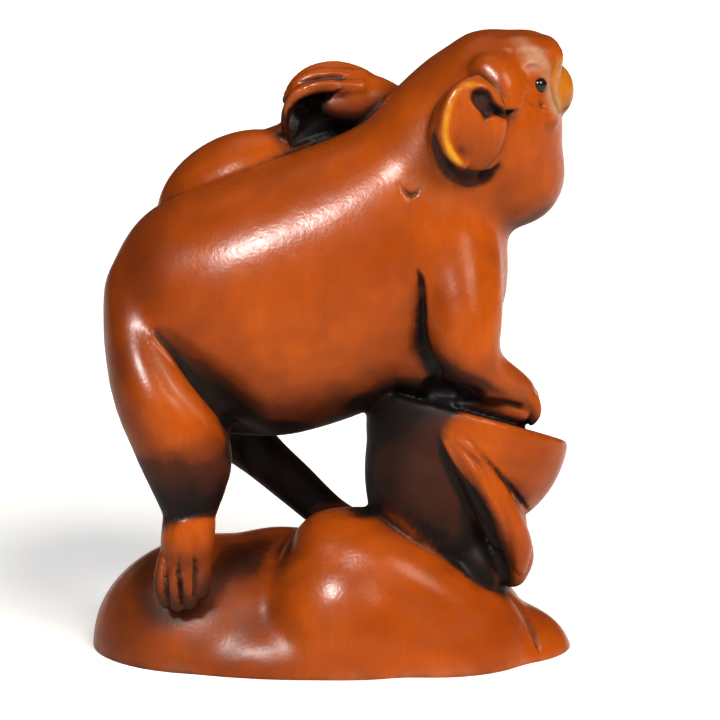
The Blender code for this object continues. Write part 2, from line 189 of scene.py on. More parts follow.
STROKES = {
    "lobe of the ear": Stroke(
        [(465, 84, 1.5), (460, 88, 2), (454, 96, 2.5), (449, 108, 3), (446, 122, 3.5), (445, 135, 4), (448, 147, 4.5),
         (453, 156, 4.5), (460, 164, 3.5)],
        gold=1.5, sharp=1.2, sides=BOTH,
    ),
    "top of the ear": Stroke([(464, 85, 2), (470, 84, 4), (478, 86, 2)], gold=1.2, sides=BOTH),
    "lip of the ear, front": Stroke([(516, 111, 1), (509, 121, 3), (507, 131, 1)], depth=-0.4, sides=BOTH),
    "lip of the ear, middle": Stroke([(494, 120, 1), (494, 132, 3), (492, 150, 1)], depth=-0.3, sides=BOTH),
    "corner of the ear": Stroke([(480, 112, 1), (486, 121, 2.5)], depth=0.4, stain_and_shade=0.8, sides=BOTH),
    "above the temple": Stroke([(458, 68, 8), (474, 54, 15), (492, 49, 15), (508, 54, 8)], depth=0.4, sides=BOTH),
    "brow": Stroke([(525, 69, 1), (531, 66, 3.5), (537, 66, 3), (543, 69, 1)], depth=0.15, stain_and_shade=0.5, sides=BOTH),
    "corner bump of the eye": Stroke([(526, 83, 2), (527, 87, 5), (526, 92, 2)], depth=-0.35, sharp=1.5, sides=BOTH),
    "round the eye": Stroke(
        [(533, 88, 1), (534, 81, 1.8), (539, 77, 1.8), (545, 80, 1.8), (547, 88, 1.8), (543, 94, 2.4), (536, 95, 2)],
        depth=0.1, stain_and_shade=0.4, sides=BOTH,
    ),
    "inner corner of the eye": Stroke([(537, 99, 1), (541, 104, 3), (545, 107, 1)], depth=0.2, stain_and_shade=0.6, sides=BOTH),
    "fold under the eye": Stroke([(526, 99, 1), (531, 103, 3.5), (538, 106, 3.5), (546, 108, 1)], depth=0.2, stain_and_shade=0.15,
                                 sides=BOTH),
    # Partly wear and partly a painted sheen: the pale band along the edge of the face where the light glances.
    "pale sheen and wear on the edge of the face": Stroke(
        [(514, 36, 3), (522, 44, 8), (531, 54, 11), (540, 64, 11), (547, 78, 8), (551, 95, 8), (557, 110, 8),
         (562, 119, 5)],
        wear_and_sheen=1.5, sharp=1.0, sides=BOTH,
    ),
    "edge of the muzzle": Stroke([(562, 53, 1), (554, 66, 3), (551, 81, 3), (554, 97, 3), (559, 109, 3), (563, 118, 1)],
                                 depth=0.3, stain_and_shade=0.2, sides=BOTH),
    "line of the mouth": Stroke([(574, 103, 1.5), (567, 108, 1.8), (561, 112, 1)], depth=0.35, stain_and_shade=0.5, sides=BOTH),
    "nick in the shoulder": Stroke(
        [(400, 183, 1), (404, 190, 2.5), (411, 195, 3.5), (418, 191, 2.5), (421, 183, 1)],
        depth=0.5, stain_and_shade=0.5, sharp=1.2,
    ),
    "wear beside the nick": Stroke([(392, 174, 4), (410, 184, 12), (430, 192, 10), (450, 206, 5)], wear_and_sheen=0.45),
    "upper gap between the fingers": Stroke(
        [(298, 84, 0.8), (308, 81, 2.5), (320, 78.5, 2.5), (332, 77.5, 2.5), (340, 78.5, 2.5), (349, 79, 0.8)],
        depth=0.5, stain_and_shade=0.8,
    ),
    "upper finger": Stroke([(322, 74, 1), (335, 73, 3), (350, 75, 1)], depth=-0.35),
    "lower finger": Stroke([(302, 88, 1), (315, 85, 4), (326, 84, 4), (339, 82.5, 1)], depth=-0.4),
    "dark edge of the hand": Stroke([(283, 135, 3), (281, 112, 4), (285, 98, 4), (292, 84, 3)], stain_and_shade=0.45),
    # Staining and painted shade in the crease between the chest and the arm.
    "crease before the arm": Stroke(
        [(417, 268, 1, 1), (421, 279, 4, 5), (422, 292, 5, 8), (422, 306, 6, 10), (421, 328, 8, 12), (422, 346, 10, 14),
         (426, 361, 12, 14), (436, 374, 12, 10)],
        depth=1.3, stain_and_shade=0.36, sharp=1.6,
    ),
    "dark line before the arm": Stroke(
        [(417, 269, 1), (421, 280, 4), (422, 306, 4), (421, 328, 4), (422, 346, 4.5), (427, 361, 5), (438, 376, 6)],
        depth=0.8, stain_and_shade=0.95,
    ),
    "wash over the hand": Stroke([(486, 368, 14), (504, 376, 20), (520, 390, 20), (528, 402, 12)], stain_and_shade=0.16, sharp=0.6),
    "shade under the arm": Stroke(
        [(430, 350, 10), (443, 366, 15), (462, 377, 15), (482, 385, 11), (504, 393, 6)], stain_and_shade=0.6, sharp=1.5,
    ),
    # Painted shade in the gap under the hand.
    "line under the hand": Stroke([(480, 398, 3), (500, 401, 4), (516, 405, 4), (529, 410, 2)], depth=0.3, stain_and_shade=0.5),
    # Painted shade on the belly beside the thigh, together with the staining in the crease.
    "crease before the thigh": Stroke(
        [(152, 326, 2, 1), (157, 335, 12, 3), (172, 352, 22, 4), (188, 374, 32, 4), (201, 391, 40, 4),
         (217, 410, 46, 4), (229, 428, 46, 4), (238, 446, 36, 3)],
        depth=1.7, stain_and_shade=1.0, sharp=1.5,
    ),
    "dark line before the thigh": Stroke(
        [(152, 328, 2), (158, 337, 5), (172, 354, 6), (187, 374, 7), (200, 391, 8), (216, 410, 9), (228, 428, 9),
         (237, 444, 7)],
        stain_and_shade=0.6,
    ),
    # A painted highlight along the lit edge of the thigh.
    "edge of the thigh": Stroke(
        [(147, 336, 1), (155, 352, 5), (164, 369, 8), (176, 388, 9), (192, 406, 7), (208, 424, 3)],
        depth=-0.35, wear_and_sheen=0.3, sharp=1.5,
    ),
    "line round the ankle": Stroke([(164, 518, 1), (176, 518, 2.2), (187, 517, 2.2), (200, 512, 2.2), (216, 507, 1)],
                                   depth=0.3, stain_and_shade=0.7),
    "first toe gap": Stroke([(165, 553, 0.8), (166, 577, 2.2), (169, 607, 2.2)], depth=0.9, stain_and_shade=1.1),
    "second toe gap": Stroke([(178, 550, 0.8), (179, 577, 2.2), (182, 604, 2.2)], depth=0.9, stain_and_shade=1.1),
    "third toe gap": Stroke([(194, 547, 0.8), (195, 571, 2.4), (194, 597, 2.4)], depth=0.9, stain_and_shade=1.1),
    # Painted shade round the foot, where it rests on the rock.
    "painted shade round the foot": Stroke(
        [(156, 545, 6), (148, 572, 16), (147, 598, 18), (164, 614, 18), (186, 612, 16), (206, 598, 18), (216, 572, 18),
         (220, 548, 10)],
        stain_and_shade=0.30, sharp=1.2,
    ),
    # Painted shade on the shank above the ankle, which faces down and away from the light.
    "painted shade of the shank": Stroke(
        [(130, 516, 64, 3), (164, 517, 70, 3), (187, 516, 74, 3), (200, 511, 74, 3), (216, 506, 72, 3), (246, 496, 64, 3)],
        stain_and_shade=0.9, sharp=0.8,
    ),
    # Painted shade along the shaded left side of the peel, over the groove.
    "groove left of the peel": Stroke(
        [(437, 434, 1, 1), (446, 455, 3, 9), (460, 477, 3, 14), (475, 496, 3, 16), (485, 513, 3, 18), (492, 534, 3, 20),
         (497, 554, 3, 18), (506, 576, 3, 12)],
        depth=1.0, stain_and_shade=0.9, sharp=1.5,
    ),
    "groove right of the peel": Stroke(
        [(466, 437, 0.8), (478, 450, 2.4), (490, 463, 2.8), (501, 475, 2.8), (513, 490, 2.8), (524, 504, 2.8),
         (531, 515, 1.5)],
        depth=0.6, stain_and_shade=0.5,
    ),
    "ridge of the peel": Stroke(
        [(456, 440, 2, 2), (468, 448, 7, 5), (480, 460, 10, 5), (494, 480, 12, 6), (505, 502, 13, 6), (513, 525, 14, 6),
         (518, 546, 14, 7), (518, 566, 9, 5)],
        depth=-1.0, sharp=0.8,
    ),
    "shaded side of the peel": Stroke(
        [(448, 442, 2), (457, 456, 6), (468, 476, 8), (480, 498, 10), (489, 518, 11), (497, 540, 12), (503, 562, 12),
         (508, 580, 8)],
        depth=0.6, stain_and_shade=0.62, sharp=0.9,
    ),

    # Painted shade on the rock behind the lit edge of its front.
    "edge of the rock's front": Stroke(
        [(506, 592, 1, 1), (516, 604, 5, 2), (525, 618, 6, 2), (532, 632, 6, 2), (538, 650, 4, 1)], depth=0.8, stain_and_shade=0.55,
    ),
    "lit rim of the rock's front": Stroke([(506, 594, 1), (516, 608, 2.5), (526, 624, 2.5), (534, 645, 1)], wear_and_sheen=0.9),
    # A painted highlight along the lit left edge of the ridge.
    "edge of the ridge": Stroke([(307, 517, 1), (300, 527, 4), (293, 537, 4), (285, 549, 4), (278, 562, 1)],
                                depth=-0.5, wear_and_sheen=0.35),
    # Painted shade on the underside of the belly.
    "painted shade under the belly": Stroke(
        [(226, 446, 30, 20), (280, 442, 56, 30), (340, 430, 60, 30), (400, 410, 56, 30), (440, 392, 30, 20)],
        stain_and_shade=0.42, sharp=1.0, sides=BOTH,
    ),
    "eye of the young": Stroke([(342, 152, 1), (345, 151, 2.6), (348, 152, 1)], depth=0.5, stain_and_shade=0.9, sides=(FAR,)),
    "mouth of the young": Stroke([(352, 168, 1), (359, 171, 1.8), (366, 168, 1)], depth=0.35, stain_and_shade=0.6, sides=(FAR,)),
    "ear of the young": Stroke([(323, 159, 1), (325, 153, 2.6), (329, 150, 1)], depth=0.5, stain_and_shade=0.6, sides=(FAR,)),
    "throat": Stroke([(512, 242, 6), (518, 232, 12), (530, 222, 12), (548, 208, 8)], stain_and_shade=0.35, sides=BOTH),
}


def mould(detail):
    """A unit ball to take copies of, made once for each level of detail."""
    name = f"mould_{detail}"
    if name not in bpy.data.meshes:
        unit = bmesh.new()
        bmesh.ops.create_icosphere(unit, subdivisions=detail, radius=1)
        unit.to_mesh(bpy.data.meshes.new(name))
        unit.free()
    return bpy.data.meshes[name]


def ball(shape, centre, radii, turn=(0, 0, 0), detail=3):
    """Adds one ellipsoid. Centre and radii are shares, turn is in degrees about X, Y and Z."""
    copy = mould(detail).copy()
    copy.transform(
        Matrix.Translation(Vector(centre) * SHARE)
        @ Euler([math.radians(angle) for angle in turn]).to_matrix().to_4x4()
        @ Matrix.Diagonal((*(radius * SHARE for radius in radii), 1))
    )
    shape.from_mesh(copy)
    bpy.data.meshes.remove(copy)


def along(keys, steps):
    """Rows on a smooth line through the keys, with the given steps from one key to the next."""
    rows = np.array(keys, float)
    padded = np.vstack([2 * rows[0] - rows[1], rows, 2 * rows[-1] - rows[-2]])
    made = []
    for a, b, c, d in zip(padded, padded[1:], padded[2:], padded[3:]):
        for t in np.arange(steps) / steps:
            made.append(
                b
                + (c - a) * t / 2
                + (a - 2.5 * b + 2 * c - d / 2) * t**2
                + (1.5 * b - a / 2 - 1.5 * c + d / 2) * t**3
            )
    return [*made, rows[-1]]


def chain(shape, keys, steps=7, detail=3):
    """Adds overlapping balls along a smooth line. A key is x, y, z and one radius, or x, y, z and three radii."""
    for row in along(keys, steps):
        radii = row[3:] if len(row) == 6 else np.repeat(row[3], 3)
        ball(shape, row[:3], np.maximum(radii, 0.3), detail=detail)


def mirrored(keys, side):
    """The keys of the near side, or of the far side where side is 1. Their y is written as a distance."""
    return [(x, y * side, *rest) for x, y, *rest in keys]


def through_modifier(shape, kind, **settings):
    """Runs one modifier over the shape."""
    before = bpy.data.meshes.new("before")
    shape.to_mesh(before)
    block = bpy.data.objects.new("block", before)
    bpy.context.scene.collection.objects.link(block)
    modifier = block.modifiers.new(kind.title(), kind)
    for name, value in settings.items():
        setattr(modifier, name, value)
    view = bpy.context.evaluated_depsgraph_get()
    after = bpy.data.meshes.new_from_object(block.evaluated_get(view))
    bpy.data.objects.remove(block)
    shape.clear()
    shape.from_mesh(after)
    bpy.data.meshes.remove(after)
    bpy.data.meshes.remove(before)


def fuse(shape, grain, rounds):
    """Turns overlapping balls into one skin with grain-sized faces, and rubs it smooth."""
    through_modifier(shape, "REMESH", mode="VOXEL", voxel_size=grain * SHARE)
    through_modifier(shape, "SMOOTH", factor=0.5, iterations=rounds)


def thin(shape, triangles):
    """Lowers the number of triangles, keeping faces where the surface turns most."""
    bmesh.ops.triangulate(shape, faces=shape.faces)
    through_modifier(shape, "DECIMATE", ratio=min(1.0, triangles / len(shape.faces)), use_collapse_triangulate=True)


def trim(shape, point, normal):
    """Cuts everything off beyond a plane and closes the cut. The point is in shares."""
    cut = bmesh.ops.bisect_plane(
        shape,
        geom=[*shape.verts, *shape.edges, *shape.faces],
        dist=1e-8,
        plane_co=Vector(point) * SHARE,
        plane_no=normal,
        clear_outer=True,
    )
    edges = [part for part in cut["geom_cut"] if isinstance(part, bmesh.types.BMEdge)]
    bmesh.ops.holes_fill(shape, edges=edges, sides=0)


def keep_largest(shape):
    """Removes closed bubbles and crumbs, so that one skin is left."""
    left = set(shape.faces)
    skins = []
    while left:
        front = [left.pop()]
        skin = list(front)
        while front:
            beside = {other for edge in front.pop().edges for other in edge.link_faces} & left
            left -= beside
            front.extend(beside)
            skin.extend(beside)
        skins.append(skin)
    skins.sort(key=len)
    for skin in skins[:-1]:
        bmesh.ops.delete(shape, geom=skin, context="FACES")


def trunk(shape):
    """The mother's body from rump to head, as one soft mass."""
    chain(
        shape,
        [
            (-20.5, 0.5, 54.5, 15.0, 15.0, 18.6),
            (-14.5, 0.5, 54.9, 16.0, 16.5, 20.4),
            (-7.2, 0.5, 56.3, 16.5, 17.0, 21.8),
            (5.4, 0.5, 61.2, 15.0, 16.0, 21.9),
            (12.0, 0.5, 67.0, 13.0, 14.0, 20.0),
            (16.3, 0.5, 75.0, 12.0, 12.5, 17.0),
            (21.5, 0.5, 81.5, 12.0, 12.0, 15.0),
        ],
        steps=9,
        detail=4,
    )
    ball(shape, (19.8, 0, 61.5), (8.2, 11.0, 15.0), detail=4)
    ball(shape, (16.2, 0, 48.6), (9.0, 11.0, 9.5), detail=4)
    ball(shape, (24.8, 0, 83.3), (11.5, 12.3, 15.7), detail=4)
    ball(shape, (28.6, 0.5, 76.5), (8.2, 10.5, 8.8), detail=4)
    ball(shape, (30.2, 0.5, 92.0), (6.0, 9.0, 6.9), detail=4)


def right_arm(shape):
    """The near arm: shoulder, upper arm and bent elbow, with the hand flat on the fruit."""
    chain(
        shape,
        [
            (17.0, -4.0, 69.0, 8.6, 7.6, 9.0),
            (18.9, -6.6, 62.5, 8.0, 7.4, 8.0),
            (20.3, -9.8, 56.0, 6.6, 7.0, 6.6),
            (20.7, -11.6, 50.9, 5.5, 6.2, 5.4),
            (22.2, -11.2, 47.8, 4.8, 5.4, 4.2),
            (24.8, -9.5, 45.5, 4.2, 4.8, 4.1),
            (27.8, -7.0, 43.5, 3.6, 4.4, 3.5),
            (30.2, -5.0, 41.8, 2.7, 4.0, 2.7),
        ],
    )


def right_hand(shape):
    """The near hand's four fingers, curled over the fruit's rim, and its heel and thumb below them."""
    for spread in (-2.9, -0.9, 1.1, 3.1):
        chain(
            shape,
            [
                (28.6, -4.8 + spread, 43.2, 1.4),
                (31.2, -4.4 + spread, 41.6, 1.3),
                (32.0, -4.2 + spread, 39.8, 1.1),
                (31.4, -4.1 + spread, 38.2, 0.9),
            ],
            detail=2,
        )
    chain(shape, [(18.0, -6.0, 41.5, 3.4), (24.0, -6.0, 40.2, 2.4), (29.4, -5.0, 38.0, 1.6)])
    chain(shape, [(20.5, -8.4, 42.0, 1.8), (25.5, -8.9, 40.7, 1.7), (29.6, -8.4, 39.6, 1.4)])


def left_arm(shape):
    """The far arm: raised, and bent back over the shoulder to the young one's head."""
    chain(
        shape,
        [
            (16.5, 8.0, 67.0, 8.0, 8.0, 8.0),
            (15.8, 12.0, 74.5, 5.8, 5.8, 5.8),
            (13.4, 14.5, 80.6, 4.8, 4.8, 4.8),
            (10.4, 12.5, 84.0, 3.9, 3.9, 3.9),
            (7.6, 9.5, 85.9, 4.1, 4.1, 4.1),
            (4.9, 8.0, 86.4, 5.0, 4.4, 4.4),
            (2.2, 6.6, 86.1, 3.1, 3.0, 3.0),
            (0.2, 5.4, 86.2, 1.8, 1.8, 1.8),
        ],
    )


def left_hand(shape):
    """The far hand: four fingers over the young one's head, the first one round the side of it."""
    fingers = [
        [(4.6, 5.0, 89.0, 1.5), (-0.9, 4.2, 89.3, 1.2), (-4.8, 4.0, 88.3, 1.1), (-6.6, 4.4, 86.2, 0.9),
         (-7.2, 5.0, 83.4, 0.8), (-7.0, 6.4, 80.6, 0.7)],
        [(4.6, 7.0, 90.2, 1.6), (-0.9, 6.4, 90.8, 1.3), (-4.4, 6.2, 89.8, 1.2), (-6.5, 6.4, 87.6, 1.1)],
        [(7.4, 9.6, 87.6, 1.8), (5.0, 9.4, 89.9, 1.7), (1.4, 9.2, 91.3, 1.5), (-2.4, 9.0, 91.0, 1.4),
         (-5.2, 9.0, 89.2, 1.3), (-6.7, 9.4, 86.6, 1.1)],
        [(7.4, 12.0, 87.0, 1.7), (5.0, 12.2, 89.3, 1.6), (1.4, 12.0, 90.7, 1.5), (-2.4, 11.8, 90.2, 1.4),
         (-5.0, 11.8, 88.2, 1.3), (-6.5, 12.0, 85.4, 1.1)],
    ]
    for keys in fingers:
        chain(shape, keys, detail=2)


def right_leg(shape):
    """The near hind leg: a broad thigh that grows out of the rump and narrows to the ankle."""
    chain(
        shape,
        [
            (-31.1, -2.5, 56.6, 4.7, 7.0, 7.8),
            (-30.6, -5.5, 51.7, 4.9, 8.0, 7.0),
            (-28.7, -9.0, 46.8, 6.0, 8.0, 6.6),
            (-26.3, -11.5, 42.3, 7.1, 7.8, 6.6),
            (-23.8, -12.6, 37.8, 7.7, 7.4, 6.3),
            (-22.3, -13.0, 33.4, 7.5, 6.4, 5.3),
            (-21.9, -13.3, 29.1, 5.9, 5.4, 4.7),
            (-21.8, -13.5, 25.9, 4.6, 4.6, 4.0),
            (-21.8, -13.8, 23.2, 3.9, 4.1, 3.6),
        ],
    )


def left_leg(shape):
    """The far hind leg: set forward under the belly, with its foot behind the ridge."""
    chain(
        shape,
        [
            (-18.9, 9.0, 38.4, 8.1),
            (-15.2, 10.0, 32.4, 5.0),
            (-11.6, 10.5, 28.6, 4.0),
            (-6.2, 11.5, 23.4, 3.6),
            (-0.9, 12.0, 18.4, 3.2),
            (3.3, 12.5, 15.4, 3.1),
        ],
    )


def right_foot(shape):
    """The near hind foot, hanging over the front of the rock, with four long toes."""
    chain(shape, [(-21.9, -14.2, 23.6, 4.2), (-22.2, -14.8, 20.0, 4.2), (-22.4, -14.6, 17.4, 3.8)])
    toes = [
        [(-25.4, -16.0, 18.3, 1.5), (-26.0, -17.0, 14.4, 1.5), (-25.4, -16.4, 11.5, 1.2)],
        [(-23.5, -16.8, 18.4, 1.5), (-23.9, -17.8, 14.4, 1.4), (-23.6, -17.0, 11.1, 1.2)],
        [(-21.6, -16.8, 18.4, 1.5), (-21.8, -17.8, 14.6, 1.4), (-21.6, -17.0, 11.5, 1.2)],
        [(-19.8, -16.0, 18.5, 1.5), (-19.7, -17.0, 15.3, 1.4), (-19.7, -16.6, 13.0, 1.1)],
    ]
    for keys in toes:
        chain(shape, keys, detail=2)


def left_foot(shape):
    """The far hind foot on the ledge, with its toes spread forwards."""
    chain(shape, [(3.3, 12.5, 15.6, 3.2), (7.0, 13.0, 15.4, 3.2), (10.0, 14.0, 14.6, 2.6)])
    for spread in (-2.4, -0.8, 0.8, 2.4):
        chain(
            shape,
            [
                (9.0, 14.0 + spread, 15.2, 1.4),
                (12.6, 15.0 + spread * 1.3, 14.0, 1.3),
                (15.0, 15.6 + spread * 1.4, 12.6, 1.1),
            ],
            detail=2,
        )


def young(shape):
    """The young on the far side of the mother's back: body, bowed head, and the limbs that it clings with."""
    ball(shape, (-15.3, 8.8, 71.4), (13.4, 8.6, 9.4), turn=(0, -30, 0), detail=4)
    chain(shape, [(-8.6, 9.5, 76.0, 6.2), (-5.2, 10.8, 79.4, 4.4), (-2.2, 11.6, 82.6, 5.1)])
    ball(shape, (2.4, 12.0, 80.4), (3.9, 3.6, 3.5))
    ball(shape, (-3.6, 16.2, 83.8), (2.2, 1.3, 2.6))
    chain(shape, [(-21.0, 14.0, 66.0, 5.4), (-16.0, 15.6, 61.4, 4.2), (-12.0, 16.6, 58.4, 2.8)])
    chain(shape, [(-12.0, 16.6, 58.4, 2.4), (-8.6, 16.8, 60.2, 2.0), (-6.0, 16.8, 61.6, 1.6)], detail=2)
    chain(shape, [(-7.0, 13.4, 76.0, 3.6), (-2.0, 15.2, 71.6, 2.6), (3.6, 15.4, 68.6, 1.9), (6.0, 15.0, 68.0, 1.6)])


def rock(shape):
    """The rock: a low mound under the hind foot, a ridge in front, and a ledge for the fruit behind it."""
    ball(shape, (-2.0, 0.0, 0.0), (36.6, 20.6, 12.0), detail=4)
    ball(shape, (-18.0, 0.0, 0.0), (20.6, 17.6, 17.6), detail=4)
    ball(shape, (-20.0, -5.0, 5.5), (15.0, 9.8, 11.4), detail=4)
    ball(shape, (-8.0, 4.0, 0.0), (20.0, 15.0, 17.8), detail=4)
    ball(shape, (5.0, 8.0, 4.0), (14.0, 11.5, 10.5), detail=4)
    chain(
        shape,
        [
            (-0.2, -5.5, 15.8, 6.3, 9.0, 7.6),
            (6.2, -5.5, 15.0, 7.1, 11.0, 8.4),
            (12.5, -5.5, 12.0, 7.6, 12.0, 8.7),
            (18.9, -5.0, 7.9, 7.6, 12.0, 8.6),
            (24.5, -4.0, 3.4, 7.2, 11.0, 7.7),
        ],
        detail=4,
    )
    ball(shape, (3.0, -8.5, 3.5), (15.0, 12.3, 17.0), detail=4)
    ball(shape, (16.0, -7.0, 0.0), (16.0, 12.2, 15.5), detail=4)
    ball(shape, (25.0, -1.5, -2.0), (14.0, 12.0, 9.6), detail=4)
    ball(shape, (20.0, 8.0, -1.0), (12.0, 10.0, 10.0), detail=4)


def ledge(shape):
    """The step behind the ridge that the fruit stands on."""
    chain(
        shape,
        [
            (8.3, 4.0, 13.0, 5.2, 11.0, 8.4),
            (15.9, 3.6, 10.0, 5.2, 10.4, 8.4),
            (21.6, 3.2, 6.0, 5.5, 10.0, 8.6),
            (26.5, 3.0, 0.6, 5.5, 9.0, 8.1),
        ],
        detail=4,
    )


def fruit(shape):
    """The fruit: a full round body and a broad slice beside it, both cut off flat on top."""
    ball(shape, (17.3, -1.0, 29.0), (12.0, 13.0, 19.0), detail=4)
    ball(shape, (21.7, -1.0, 36.0), (16.2, 13.6, 17.6), detail=4)
    ball(shape, (23.8, -1.0, 15.5), (6.4, 11.0, 8.0), detail=4)
    tilt = Euler([math.radians(angle) for angle in FRUIT_TILT]).to_matrix()
    trim(shape, FRUIT_RIM, tilt @ Vector((0, 0, 1)))


def peel(shape, side):
    """The thick curl of peel that runs from the fruit's rim down over its side."""
    keys = [
        (17.9, 12.4, 37.2, 1.0),
        (19.6, 13.2, 34.4, 1.9),
        (21.9, 13.6, 31.0, 2.5),
        (24.4, 13.2, 26.9, 2.9),
        (26.9, 12.2, 22.4, 3.1),
        (28.8, 10.6, 17.7, 3.1),
        (28.5, 9.2, 14.4, 2.6),
    ]
    chain(shape, mirrored(keys, side))


def face(shape, side):
    """One side of the face: muzzle, brow, cheek, temple and the bump beside the eye."""
    ball(shape, (34.0, 1.5, 89.0), (3.9, 4.6, 4.6), detail=4)
    chain(shape, mirrored([(26.0, 3.4, 94.0, 3.9), (29.6, 3.2, 94.7, 3.6), (32.8, 2.6, 94.5, 3.2)], side))
    ball(shape, (31.6, 5.5 * side, 85.9), (3.8, 3.6, 3.2))
    chain(shape, mirrored([(24.4, 7.0, 92.6, 3.8), (26.0, 8.2, 90.8, 3.8), (26.8, 10.0, 88.2, 2.7)], side))
    ball(shape, (30.0, 8.4 * side, 90.6), (1.1, 1.0, 1.3), detail=2)


def ear(shape, side):
    """A round ear on a sloping base: a broad plate with a rolled rim along its back."""
    ball(shape, (20.8, 10.8 * side, 83.6), (5.6, 4.0, 8.0), detail=4)
    ball(shape, (21.6, 13.8 * side, 85.8), (5.2, 2.8, 7.2), detail=4)
    rim = [
        (22.3, 13.6, 92.4, 0.9),
        (20.4, 14.2, 91.6, 1.1),
        (18.9, 14.9, 90.2, 1.2),
        (17.9, 15.4, 88.2, 1.2),
        (17.4, 15.8, 86.0, 1.2),
        (17.5, 16.0, 83.6, 1.2),
        (18.4, 16.0, 81.4, 1.1),
        (20.0, 15.6, 79.8, 0.9),
    ]
    chain(shape, mirrored(rim, side), steps=4, detail=2)


def add(shape, other):
    """Puts another bmesh into the shape and frees it."""
    loose = bpy.data.meshes.new("loose")
    other.to_mesh(loose)
    other.free()
    shape.from_mesh(loose)
    bpy.data.meshes.remove(loose)


def solid_of(builds, grain, rounds):
    """One smooth skin over the balls of several builders."""
    shape = bmesh.new()
    for build in builds:
        build(shape)
    fuse(shape, grain, rounds)
    through_modifier(shape, "SUBSURF", levels=1, render_levels=1)
    return shape


def rough_form(grain):
    """The whole form before the gouge's lines: the masses, the limbs and the small forms of the head."""
    form = solid_of([trunk, right_arm, right_leg], MASS_GRAIN, 14)
    add(form, solid_of([rock], MASS_GRAIN, 14))
    add(form, solid_of([fruit], POD_GRAIN, 6))
    limbs = bmesh.new()
    for build in (right_hand, left_arm, left_hand, left_leg, right_foot, left_foot, young, ledge):
        build(limbs)
    for side in BOTH:
        for build in (face, ear, peel):
            build(limbs, side)
    add(form, limbs)
    fuse(form, grain, 6)
    return form


def rows_of(elements, name, width=3):
    """One value of every vertex, edge or face as an array."""
    flat = np.empty(len(elements) * width, dtype=np.float32 if width == 3 else np.int32)
    elements.foreach_get(name, flat)
    return flat.reshape(-1, width).astype(float if width == 3 else int)


def set_places(mesh, places):
    """Moves every vertex of the mesh."""
    mesh.vertices.foreach_set("co", places.astype(np.float32).ravel())
    mesh.update()


def tree_of(mesh):
    """A tree for casting rays at the mesh."""
    mesh.calc_loop_triangles()
    faces = rows_of(mesh.loop_triangles, "vertices", 3).astype(int)
    return BVHTree.FromPolygons([tuple(place) for place in rows_of(mesh.vertices, "co")], faces.tolist())


def in_photo(places, side):
    """Where points fall in the photograph, across and down. The far side is seen as in a mirror."""
    from_target = places - np.array(CAMERA_TARGET)
    inwards = from_target[:, 1] * -side
    sine, cosine = math.sin(CAMERA_ELEVATION), math.cos(CAMERA_ELEVATION)
    depth = CAMERA_DISTANCE + inwards * cosine - from_target[:, 2] * sine
    height = inwards * sine + from_target[:, 2] * cosine
    middle = PHOTO_SIDE / 2
    return middle + PIXELS * from_target[:, 0] / depth, middle - PIXELS * height / depth


def towards_camera(side):
    """The direction from the carving to the camera, or to its mirror image on the far side."""
    return np.array([0, math.cos(CAMERA_ELEVATION) * side, math.sin(CAMERA_ELEVATION)])


def in_sight(mesh, places, outwards, side):
    """Whether each point of the surface can be seen from the camera of that side."""
    tree = tree_of(mesh)
    view = towards_camera(side)
    facing = outwards @ view
    ray = Vector(view)
    seen = np.zeros(len(places), dtype=bool)
    starts = places + outwards * SHARE * 0.25 + view * SHARE * 0.4
    for index in np.flatnonzero(facing > -0.1):
        seen[index] = tree.ray_cast(Vector(starts[index]), ray)[0] is None
    return seen, facing


def stroke_weight(across, down, stroke):
    """How strongly a line acts on each point, from 0 beyond its width to 1 on it where it is widest."""
    line = np.array(along(stroke.keys, 12))
    left, right = line[:, 2], line[:, -1]
    widest = np.maximum(left, right).max()
    weight = np.zeros(len(across))
    near = np.flatnonzero(
        (across > line[:, 0].min() - widest) & (across < line[:, 0].max() + widest)
        & (down > line[:, 1].min() - widest) & (down < line[:, 1].max() + widest)
    )
    if not len(near):
        return weight
    way = np.gradient(line[:, :2], axis=0)
    dx = across[near][:, None] - line[:, 0]
    dy = down[near][:, None] - line[:, 1]
    to_right = way[:, 0] * dy - way[:, 1] * dx > 0
    width = np.maximum(np.where(to_right, right, left), 0.2)
    reach = np.hypot(dx, dy) / width
    closest = reach.argmin(axis=1)
    chosen = np.arange(len(near))
    strength = ((left + right) / (left + right).max())[closest]
    weight[near] = strength * (1 - np.minimum(reach[chosen, closest], 1) ** 1.5) ** stroke.sharp
    return weight


def pocket_weight(across, down, pocket):
    """1 on the floor of a recess, 0 outside it, and a smooth slope between them."""
    outline = np.array(along([*pocket.outline, pocket.outline[0]], 6))
    weight = np.zeros(len(across))
    near = np.flatnonzero(
        (across > outline[:, 0].min()) & (across < outline[:, 0].max())
        & (down > outline[:, 1].min()) & (down < outline[:, 1].max())
    )
    if not len(near):
        return weight
    ahead = np.roll(outline, -1, axis=0)
    x, y = across[near][:, None], down[near][:, None]
    rise = ahead[:, 1] - outline[:, 1]
    rise[rise == 0] = 1e-9
    crossed = (outline[:, 1] > y) != (ahead[:, 1] > y)
    right_of = x < outline[:, 0] + (y - outline[:, 1]) * (ahead[:, 0] - outline[:, 0]) / rise
    within = (crossed & right_of).sum(axis=1) % 2 == 1
    inset = np.minimum(np.hypot(x - outline[:, 0], y - outline[:, 1]).min(axis=1) / pocket.slope, 1)
    weight[near] = within * inset**2 * (3 - 2 * inset)
    return weight


